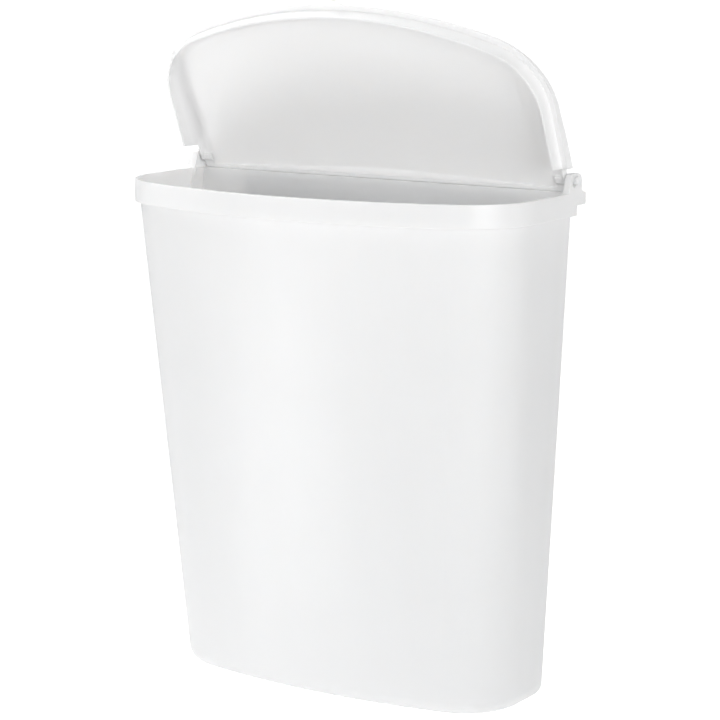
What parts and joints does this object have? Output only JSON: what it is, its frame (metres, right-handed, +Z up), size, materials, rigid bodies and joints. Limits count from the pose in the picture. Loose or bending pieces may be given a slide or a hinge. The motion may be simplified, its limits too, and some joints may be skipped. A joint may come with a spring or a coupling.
{
  "type": "wall-hung waste bin with flip lid",
  "caption": "Slim D-shaped plastic waste bin with a hinged plug-in flip lid, hung on a screwed wall bracket by a rail behind its rim.",
  "frame": {"origin": "on the wall plane, midway between the two wall screws", "axes": "+Z up, +Y into the wall, -Y towards the person, +X to the right seen from the front"},
  "size_m": [0.269, 0.1399, 0.3979],
  "materials": {
    "tub_plastic": "smooth glossy white injection-moulded polypropylene",
    "lid_plastic": "smooth glossy white injection-moulded polypropylene",
    "pin_plastic": "smooth white plastic",
    "bracket_plastic": "satin white plastic",
    "screw_steel": "zinc-plated steel"
  },
  "bodies": {
    "bracket": {"wall_bracket": "bracket_plastic", "wall_screws": "screw_steel"},
    "tub": {"tub": "tub_plastic", "left_hinge_pin": "pin_plastic", "right_hinge_pin": "pin_plastic"},
    "lid": {"lid": "lid_plastic"}
  },
  "joints": [
    {"name": "tub_lift", "type": "slide", "parent": "bracket", "child": "tub", "axis": [0, 0, 1], "range_m": [0, 0.01]},
    {"name": "lid_hinge", "type": "hinge", "parent": "tub", "child": "lid", "pos_m": [0, -0.012, 0.04185], "axis": [-1, 0, 0], "range_deg": [-66.8, 31]}
  ]
}
